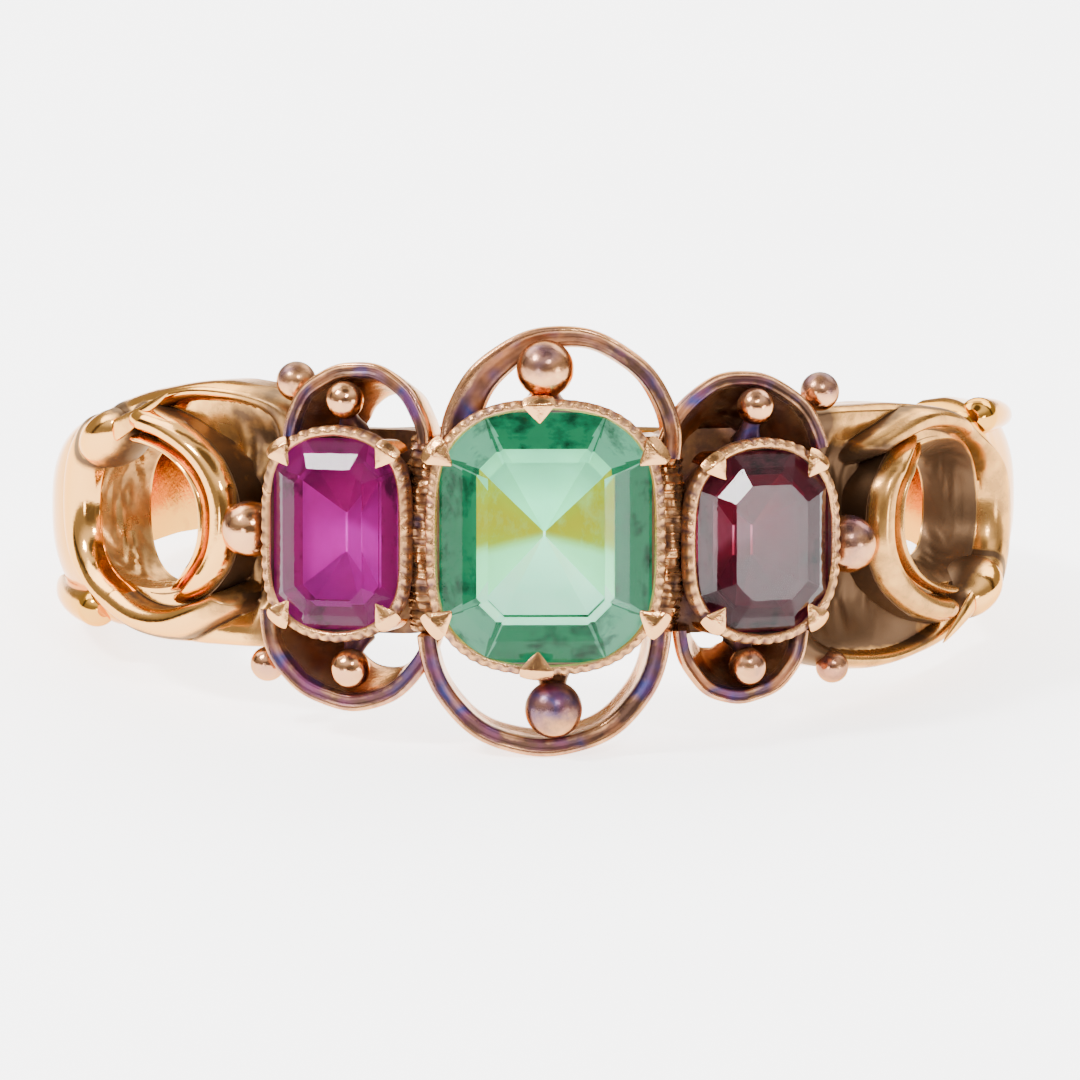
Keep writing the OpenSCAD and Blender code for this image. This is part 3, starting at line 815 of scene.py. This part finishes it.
def neck(row):
    """A waisted bar from the ball's root to its middle: radius r (0.9 - 0.3 sin(pi s) - 0.25 s)."""
    angle, z, radius, level, root_level, root_z, _ = row
    start, end = at(angle, root_z, root_level), at(angle, z, level)
    along = (end - start) / np.linalg.norm(end - start)
    side = np.cross(along, [1, 0, 0])
    side = side / np.linalg.norm(side)
    s, v = (values[..., None] for values in along_round(24, 32))
    thick = radius * (0.9 - 0.3 * np.sin(np.pi * s) - 0.25 * s)
    outward = np.cos(v) * side + np.sin(v) * np.cross(along, side)
    return shell(start + (end - start) * s + thick * outward, tarnish_and_shade=0.8)


piece("balls", [make(row) for row in BALLS for make in (ball, neck)], [scorched])

# %% [markdown]
# ## Claws
# A claw is a small finger of the collet's wall, filed to a point and pressed down over the stone. One shape
# copied round would miss the stones' edges. So each row of the grid takes its place from its own stone's
# outline, and the claw bends over the rim by itself.

# %% Claws
# Columns: stone, direction, half width, reach over the stone.
CLAWS = [[CENTRE, way, 0.3, 0.24] for way in (38, 142, 218, 322)]
CLAWS += [[CENTRE, 93, 0.32, 0.2], [CENTRE, 266, 0.34, 0.22]]
CLAWS += [[LEFT, way, 0.26, 0.22] for way in (55, 125, 235, 305)]
CLAWS += [[RIGHT, way, 0.26, 0.22] for way in (54, 126, 234, 306)]


def claw(stone, way, half, tip):
    """A tapering finger up the wall, over the rim and down to a point, with a section 1 - |x|^2.4 high."""
    rim = stone["girdle"] + GIRDLE_DROP
    along, v = along_round(28, 32)
    bends = [0, 0.3, 0.5, 1]
    margin = np.interp(along, bends, [0.3, 0.3, 0.16, -tip])
    level = np.interp(along, bends, [rim - 0.5, rim, rim + 0.11, rim + 0.1])
    lean = np.interp(along, bends, [1.0, 0.7, 0.25, 0.1])
    across = half * np.interp(along, [0, 0.4, 0.55, 1], [0.7, 1.0, 0.95, 0.08]) * np.cos(v)
    tall = np.interp(along, [0, 0.4, 1], [0.05, 0.07, 0.02])
    above = tall * (1 - np.abs(np.cos(v)) ** 2.4)
    high = np.where(np.sin(v) > 0, above, -0.5 * tall * np.abs(np.sin(v)))
    out = outline_reach(stone, way, margin, 60) + high * lean
    c, s = cos_sin(way)
    grid = on_head(stone, out * c - across * s, out * s + across * c, level + high * (1 - lean))
    return shell(grid, tarnish_and_shade=0.05)


piece("claws", [claw(*row) for row in CLAWS], [worked], sharp=28)

# %% [markdown]
# ## The stones' crowns
# Light enters a cut stone through the crown, bounces off the facets underneath and comes back out. That takes
# many bounces to look clean, so only the crown is clear here, and the underside is a coloured mirror. It
# keeps the stone bright and free of specks.

# %% Crowns' finish
def clear(name, colour, bend, shine):
    """Clear, tinted, and bending light as the real stone does. Wear and a greasy film dull its shine."""
    made, tree, surface, place = new_finish(name)
    haze = ramp(tree, noise(tree, place, 1.6, 5.0), [(0.3, colour), (0.75, tuple(c**0.8 for c in colour))])
    tree.links.new(haze, surface.inputs["Base Color"])
    dial(surface, transmission_weight=1.0, specular_tint=(shine, shine, shine, 1), roughness=0.015)
    surface.inputs["IOR"].default_value = bend
    bump(tree, surface, noise(tree, place, 3.0, 5.0), 0.06, 0.00002)
    return made


green_top = clear("green_crown", (0.45, 0.94, 0.70), 1.57, 0.15)
pink_top = clear("pink_crown", (0.88, 0.30, 0.72), 1.6, 0.17)
red_top = clear("red_crown", (0.70, 0.20, 0.28), 1.75, 0.15)
print("crowns:", [m.name for m in (green_top, pink_top, red_top)])

# %% [markdown]
# ## The stones' undersides
# Through the table you see a cross of facets in several shades, and round it a darker, cloudy ring. These are
# light and shade bouncing inside the stone, painted here as reflections: each facet of the underside has a
# zone number, 0 for the outer ring and 1/3, 2/3 and 1 for the lower, upper and side facets, and a ramp gives
# each zone its painted colour.

# %% Undersides' finish
# Colours of the outer ring and of the lower, upper and side facets: each stone's hue with painted reflections
# and shade.
GREENS = [(0.02, 0.15, 0.08), (0.66, 1.0, 0.86), (0.22, 0.52, 0.36), (0.42, 0.31, 0.02)]
PINKS = [(0.28, 0.03, 0.16), (0.5, 0.045, 0.42), (0.22, 0.012, 0.12), (0.36, 0.025, 0.27)]
REDS = [(0.17, 0.05, 0.075), (0.2, 0.05, 0.09), (0.26, 0.05, 0.09), (0.5, 0.34, 0.42)]


def mirror(name, colours, glow, low_tint, waist):
    """A mirror coloured by zone with painted reflections and shade, dark blotches in the outer ring and pale
    veils inside it. Side facets change to low_tint below the height called waist, and a glow is painted light
    for light let in behind."""
    made, tree, surface, place = new_finish(name)
    zone = add(tree, "ShaderNodeAttribute", attribute_name="zone").outputs["Fac"]
    # The zone colours are painted reflections and shade from light bouncing inside the stone.
    base = ramp(tree, zone, [(k / (len(colours) - 1), c) for k, c in enumerate(colours)])
    split = add(tree, "ShaderNodeSeparateXYZ")
    tree.links.new(place.outputs["Object"], split.inputs[0])
    low = add(tree, "ShaderNodeMapRange", interpolation_type="SMOOTHSTEP",
              from_min=waist, from_max=waist - 0.0003)
    tree.links.new(split.outputs["Z"], low.inputs["Value"])
    side = times(tree, maths(tree, "SUBTRACT", zone, 0.75), 4.0)
    base = blend(tree, times(tree, side, low.outputs[0]), base, low_tint)
    inside = times(tree, zone, 3.0)
    outside = maths(tree, "SUBTRACT", 1.0, inside)
    dark = tuple(c * 0.25 for c in colours[0])
    pale = tuple(min(1, c * 1.4 + 0.03) for c in colours[2])
    blotches, veils = [outside, dark, (1.7, 5.0, 0.62), 6.0], [inside, pale, (1.3, 6.0, 0.65), 1.2]
    for where, tint, grain, strength in (blotches, veils):
        cloud = times(tree, maths(tree, "SUBTRACT", noise(tree, place, *grain), 0.5), strength)
        base = blend(tree, times(tree, cloud, where), base, tint)
    tree.links.new(base, surface.inputs["Base Color"])
    # The glow is painted light, for the light let in behind the stone.
    tree.links.new(base, surface.inputs["Emission Color"])
    dial(surface, emission_strength=glow, metallic=1.0, roughness=0.35)
    return made


green_low = mirror("green_underside", GREENS, 1.2, (0.34, 0.66, 0.42), 0.0042)
pink_low = mirror("pink_underside", PINKS, 0.25, (0.6, 0.08, 0.55), 0.0044)
red_low = mirror("red_underside", REDS, 0.15, (0.26, 0.06, 0.1), 0.0040)
print("undersides:", [m.name for m in (green_low, pink_low, red_low)])

# %% [markdown]
# ## Facets
# A lapidary grinds a stone in steps, all the way round at one tilt and then at the next. So the grid has a
# row for each step and a column for each corner, and it isn't smoothed, since a facet is flat.

# %% Steps of a cut
# Columns: how far in from the girdle and how far above it, for the centre stone.
STEPS = [[0.95, 0.65], [0.45, 0.41], [0, 0.05], [0, -0.05], [0.93, -0.6]]
CROWN_ROWS = 3
KEEL_DROP, KEEL_HALF_W = 1.9, 0.02


def step_corners(stone, inset, level):
    """The eight corners of a cut-cornered oblong drawn in by an inset: its cuts shrink by 0.586 of it."""
    x, z = stone["wide"] / 2 - inset, stone["high"] / 2 - inset
    c = max(stone["cut"] - (2 - np.sqrt(2)) * inset, 0.02)
    px = np.array([x, x - c, c - x, -x, -x, c - x, x - c, x])
    pz = np.array([z - c, z, z, z - c, c - z, -z, -z, c - z])
    return on_head(stone, px, pz, level)


def step_cut(stone, keel):
    """Eight columns and a row for each step, scaled by the stone's width, and a keel at the bottom."""
    size = stone["wide"] / CENTRE["wide"]
    rows = [step_corners(stone, inset * size, stone["girdle"] + height * size) for inset, height in STEPS]
    sides = np.array([1, 1, -1, -1, -1, -1, 1, 1]) * KEEL_HALF_W
    ends = np.array([1, 1, 1, 1, -1, -1, -1, -1]) * keel
    return np.stack(rows + [on_head(stone, sides, ends, stone["girdle"] - KEEL_DROP * size)])


print("steps:", len(STEPS), "of which", CROWN_ROWS, "rows are the crown's")

# %% [markdown]
# Each stone then becomes a piece that stands for the plain stone among the solids. Faces past the crown's
# rows get the underside's finish, and each face gets its zone from where its middle lies.

# %% Cut stones
CORNER_ZONE = 0.07


def face_zones(mesh, cols, lowest):
    """0 in the outer ring, 0.07 at its corners, 1/3 or 2/3 by the sign of z, and 1 where |x| > 1.05 |z|."""
    centres = np.array([p.center for p in mesh.polygons])
    x, _, z = (centres - centres.mean(axis=0)).T
    zone = np.where(z > 0, 2 / 3, 1 / 3)
    zone = np.where(np.abs(x) > np.abs(z) * 1.05, 1.0, zone)
    # A corner facet joins columns 2k and 2k + 1, so its four column numbers add up to 8k + 2.
    corner = np.array([sum(v % cols for v in p.vertices) % 8 == 2 for p in mesh.polygons])
    return np.where(lowest < (CROWN_ROWS + 1) * cols, CORNER_ZONE * corner, zone)


def cut_stone(name, node, tiers, finish):
    """Tiers is a grid of corners, tiers[i, j], whose first rows are the crown and the rest the underside."""
    points, quads, tris, _ = shell(tiers)
    made = piece(name, [(points, quads, tris, np.zeros(len(points)))], finish, sharp=1)
    mesh = made.data
    mesh.shade_flat()
    cols = tiers.shape[1]
    lowest = np.array([min(p.vertices) for p in mesh.polygons])
    below = lowest >= CROWN_ROWS * cols
    mesh.polygons.foreach_set("material_index", below.astype(np.int32))
    zone = face_zones(mesh, cols, lowest)
    mesh.attributes.new("zone", "FLOAT", "FACE").data.foreach_set("value", zone.astype(np.float32))
    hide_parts(node)


cut_stone("centre_gem", "centre_stone", step_cut(CENTRE, 0.05), [green_top, green_low])
cut_stone("left_gem", "left_stone", step_cut(LEFT, 0.4), [pink_top, pink_low])
cut_stone("right_gem", "right_stone", step_cut(RIGHT, 0.3), [red_top, red_low])

# %% [markdown]
# ## Hide the plain metal
# The fine gold pieces stand for the plain gold solid, which now only serves the physics.

# %% The mount's stand-ins
METAL = ["left_shoulder", "right_shoulder", "band", "collets", "pierced_base", "gallery_loops", "balls",
         "claws"]
for name in METAL:
    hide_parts("gold_mount")
print("gold pieces:", len(METAL))

# %% [markdown]
# ## The table
# The ring lies on a white table, as jewellery does for a catalogue. The table glows a little, as a real one
# lit from all round would, and that fills the undersides of the gold.

# %% Table
def table_finish():
    """A pale, almost white matt surface with a faint unevenness."""
    made, tree, surface, place = new_finish("pale_table")
    pale = ramp(tree, noise(tree, place, 0.1, 3.0), [(0.3, (0.88, 0.87, 0.88)), (0.7, (0.93, 0.92, 0.93))])
    tree.links.new(pale, surface.inputs["Base Color"])
    dial(surface, roughness=0.6, emission_color=(1, 0.99, 0.98, 1), emission_strength=2.8)
    return made


TABLE_HALF = 0.6
table_mesh = bpy.data.meshes.new("table")
table_corners = [(x * TABLE_HALF, y * TABLE_HALF, 0) for x, y in ((-1, -1), (1, -1), (1, 1), (-1, 1))]
table_mesh.from_pydata(table_corners, [], [(0, 1, 2, 3)])
table_mesh.materials.append(table_finish())
in_scene("table", table_mesh)
print("table:", 2 * TABLE_HALF, "m wide")

# %% [markdown]
# ## Soft lights
# Big lamps stand for windows, and small ones put the pale patches on the side stones. A lamp's power grows
# with its area, so you can resize it and it looks no brighter in a reflection.

# %% Lights
# Columns: name, azimuth, elevation, distance, width, height, glow.
LAMPS = [
    ["left_window", -125, 48, 0.45, 0.25, 0.25, 7],
    ["right_window", 130, 40, 0.45, 0.2, 0.25, 6],
    ["table_light", 50, 5, 0.4, 0.07, 0.05, 24],
    ["left_glint", -64, 49, 0.4, 0.065, 0.065, 150],
    ["right_glint", 16, 41, 0.4, 0.035, 0.035, 180],
    ["left_card", -28, 5, 0.4, 0.05, 0.05, 22],
    ["back_light", 175, 35, 0.45, 0.4, 0.25, 5],
]


def aim(thing, axes, place):
    """Sets an object down at a place, with its X, Y and Z axes along three columns."""
    pose = np.eye(4)
    pose[:3, :3], pose[:3, 3] = axes, place
    thing.matrix_world = Matrix(pose.tolist())


def soft_light(name, azimuth, elevation, far, wide, high, glow):
    """A rectangular light that faces the ring, with power = glow x pi x area."""
    a, e = np.radians(azimuth), np.radians(elevation)
    away = np.array([np.sin(a) * np.cos(e), -np.cos(a) * np.cos(e), np.sin(e)])
    lamp = bpy.data.lights.new(name, "AREA")
    lamp.shape, lamp.size, lamp.size_y = "RECTANGLE", wide, high
    lamp.energy = glow * np.pi * wide * high
    side = np.cross([0, 0, 1], away)
    side /= np.linalg.norm(side)
    aim(in_scene(name, lamp), np.stack([side, np.cross(away, side), away], axis=-1), away * far)


for lamp_row in LAMPS:
    soft_light(*lamp_row)
print("lights:", [row[0] for row in LAMPS])

# %% [markdown]
# ## A white tent
# Polished metal shows whatever is round it, so jewellery is shot inside a white tent. The world is that tent:
# white overhead, grey low down, with dark patches that draw lines along the gold's edges. The door is where
# the lens looks in, the flags stand beside the ring, and the roof patch keeps the tops from washing out.

# %% World
world = bpy.data.worlds.new("white_tent")
bpy.context.scene.world = world
world.use_nodes = True
room = world.node_tree
there = add(room, "ShaderNodeTexCoord")


def facing(way, low, high):
    """0 to 1 as a direction turns towards a way: a smooth step on the cosine between them."""
    cosine = add(room, "ShaderNodeVectorMath", operation="DOT_PRODUCT")
    room.links.new(there.outputs["Generated"], cosine.inputs[0])
    cosine.inputs[1].default_value = way
    made = add(room, "ShaderNodeMapRange", interpolation_type="SMOOTHSTEP", from_min=low, from_max=high)
    room.links.new(cosine.outputs["Value"], made.inputs["Value"])
    return made.outputs[0]


door = facing((0, -0.99, 0.14), 0.84, 0.96)
flags = maths(room, "SUBTRACT", facing((0, 1, 0), 0.1, 0.18), facing((0, 1, 0), 0.3, 0.38))
roof = facing((0.05, -0.28, 0.96), 0.9, 0.97)
shade = maths(room, "MAXIMUM", times(room, door, 0.6), times(room, flags, 0.9))
shade = maths(room, "MAXIMUM", shade, times(room, roof, 0.92))
walls = blend(room, facing((0, 0, 1), 0.3, 0.75), (0.26, 0.25, 0.24), (1.0, 1.0, 1.0))
tent = blend(room, shade, walls, (0.02, 0.012, 0.008))
room.links.new(tent, dial(room.nodes["Background"], strength=2.0).inputs["Color"])
print("the tent has", len(room.nodes), "nodes")

# %% [markdown]
# ## The camera
# A long lens far away keeps the ring from tapering. The camera is placed in the ring's own upright frame,
# where its direction is easy to say, and is then laid down with the ring.

# %% Camera
# The distance is in millimetres, and the scale is how many of the picture's pixels one of them takes.
FAR, SCALE, FRAME = 220.0, 48.15, 1080
# Where the middle of the finger hole falls in the picture.
RING_ACROSS, RING_DOWN = 533.5, 500
AZIMUTH, RISE = np.radians(-1.5), np.radians(4.4)
toward = np.array([np.sin(AZIMUTH) * np.cos(RISE), -np.cos(AZIMUTH) * np.cos(RISE), np.sin(RISE)])
right = np.array([np.cos(AZIMUTH), np.sin(AZIMUTH), 0])
up = np.cross(toward, right)
eye = toward * FAR + right * (FRAME / 2 - RING_ACROSS) / SCALE - up * (FRAME / 2 - RING_DOWN) / SCALE
lens = bpy.data.cameras.new("camera")
lens.sensor_width, lens.lens = 36, SCALE * FAR / FRAME * 36
lens.clip_start, lens.clip_end = 0.01, 10
camera = in_scene("camera", lens)
aim(camera, LAY @ np.stack([right, up, toward], axis=-1), laid(eye))
bpy.context.scene.camera = camera
print("lens:", round(lens.lens, 1), "mm")
